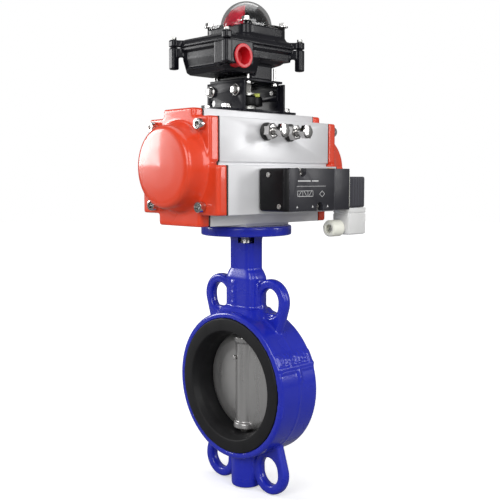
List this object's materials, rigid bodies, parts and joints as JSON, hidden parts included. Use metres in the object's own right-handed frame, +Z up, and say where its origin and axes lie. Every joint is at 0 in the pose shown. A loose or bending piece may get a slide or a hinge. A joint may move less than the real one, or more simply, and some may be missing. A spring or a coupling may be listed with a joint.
{
  "type": "pneumatic actuated butterfly valve",
  "caption": "Wafer butterfly valve turned by a rack-and-pinion pneumatic actuator, with a solenoid pilot valve on its side and a limit-switch box with a domed beacon on top.",
  "frame": {"origin": "centre of the valve's bore, on the axis of the stem", "axes": "+X along the pipe and the actuator's length, -Y towards the solenoid valve, +Z up along the stem to the beacon"},
  "size_m": [0.2156, 0.1594, 0.4844],
  "materials": {
    "blue_enamel": "glossy cobalt-blue paint on a casting",
    "seat_rubber": "matte black rubber",
    "stainless": "satin stainless steel",
    "bronze": "plain machined",
    "anodised": "light silver anodising",
    "orange_enamel": "glossy orange-red paint",
    "chrome_screw": "bright plating",
    "zinc_steel": "zinc-plated steel",
    "black_plastic": "satin black",
    "coil_resin": "moulded dark grey resin",
    "clear_connector": "milky translucent plastic",
    "gland_nylon": "greenish beige nylon",
    "black_coat": "satin black coating on cast or folded metal",
    "clear_dome": "clear moulded dome",
    "beacon_red": "red and black drum",
    "plug_red": "red moulded plug",
    "indicator_lime": "yellow-green pointer cap"
  },
  "bodies": {
    "housing": {"valve_body": "blue_enamel", "seat_liner": "seat_rubber", "upper_bushing": "bronze", "stem_seal": "seat_rubber", "lower_bushing": "bronze", "flange_screw_1": "zinc_steel", "flange_screw_2": "zinc_steel", "flange_screw_3": "zinc_steel", "flange_screw_4": "zinc_steel", "actuator_body": "anodised", "end_cap_left": "orange_enamel", "end_cap_right": "orange_enamel", "cap_gasket_left": "seat_rubber", "cap_gasket_right": "seat_rubber", "cap_screw_left_1": "chrome_screw", "cap_screw_left_2": "chrome_screw", "cap_screw_left_3": "chrome_screw", "cap_screw_left_4": "chrome_screw", "cap_screw_right_1": "chrome_screw", "cap_screw_right_2": "chrome_screw", "cap_screw_right_3": "chrome_screw", "cap_screw_right_4": "chrome_screw", "lower_bearing": "black_plastic", "upper_bearing": "black_plastic", "thrust_washer": "black_plastic", "stop_seal_1": "seat_rubber", "stop_seal_2": "seat_rubber", "stop_nut_1": "chrome_screw", "stop_nut_2": "chrome_screw", "solenoid_body": "black_coat", "solenoid_end_cover": "black_plastic", "pilot_block": "black_plastic", "coil": "coil_resin", "coil_nut": "coil_resin", "connector": "clear_connector", "cable_gland": "gland_nylon", "namur_screw_1": "chrome_screw", "namur_screw_2": "chrome_screw", "lower_bracket": "black_coat", "upper_bracket": "black_coat", "switch_box_body": "black_coat", "switch_box_cover": "black_coat", "beacon_dome": "clear_dome", "conduit_plug": "plug_red"},
    "drive": {"disc": "stainless", "stem": "stainless", "taper_pin": "zinc_steel", "pinion": "zinc_steel", "stop_cam": "zinc_steel", "position_indicator": "indicator_lime", "beacon_rotor": "beacon_red", "switch_shaft": "zinc_steel"},
    "piston_left": {"piston_left": "anodised", "piston_seal_left": "seat_rubber"},
    "piston_right": {"piston_right": "anodised", "piston_seal_right": "seat_rubber"},
    "spool": {"spool": "anodised"},
    "override_button": {"override_button": "bronze"},
    "stop_screw_1": {"stop_screw_1": "chrome_screw"},
    "stop_screw_2": {"stop_screw_2": "chrome_screw"}
  },
  "joints": [
    {"name": "drive_turn", "type": "hinge", "parent": "housing", "child": "drive", "pos_m": [0, 0, 0], "axis": [0, 0, 1], "range_deg": [0, 90]},
    {"name": "piston_left_slide", "type": "slide", "parent": "housing", "child": "piston_left", "axis": [-1, 0, 0], "range_m": [0, 0.022]},
    {"name": "piston_right_slide", "type": "slide", "parent": "housing", "child": "piston_right", "axis": [1, 0, 0], "range_m": [0, 0.022]},
    {"name": "spool_slide", "type": "slide", "parent": "housing", "child": "spool", "axis": [1, 0, 0], "range_m": [0, 0.004], "stiffness_N_per_m": 1500, "springref_m": -0.002},
    {"name": "override_press", "type": "slide", "parent": "housing", "child": "override_button", "axis": [0, 0, -1], "range_m": [0, 0.0015], "stiffness_N_per_m": 1500, "springref_m": -0.001},
    {"name": "stop_screw_1_adjust", "type": "slide", "parent": "housing", "child": "stop_screw_1", "axis": [0, -1, 0], "range_m": [0, 0.003]},
    {"name": "stop_screw_2_adjust", "type": "slide", "parent": "housing", "child": "stop_screw_2", "axis": [0, -1, 0], "range_m": [0, 0.003]}
  ],
  "couplings": [
    {"joint": "piston_left_slide", "follows": "drive_turn", "m_per_rad": 0.014},
    {"joint": "piston_right_slide", "follows": "drive_turn", "m_per_rad": 0.014}
  ]
}
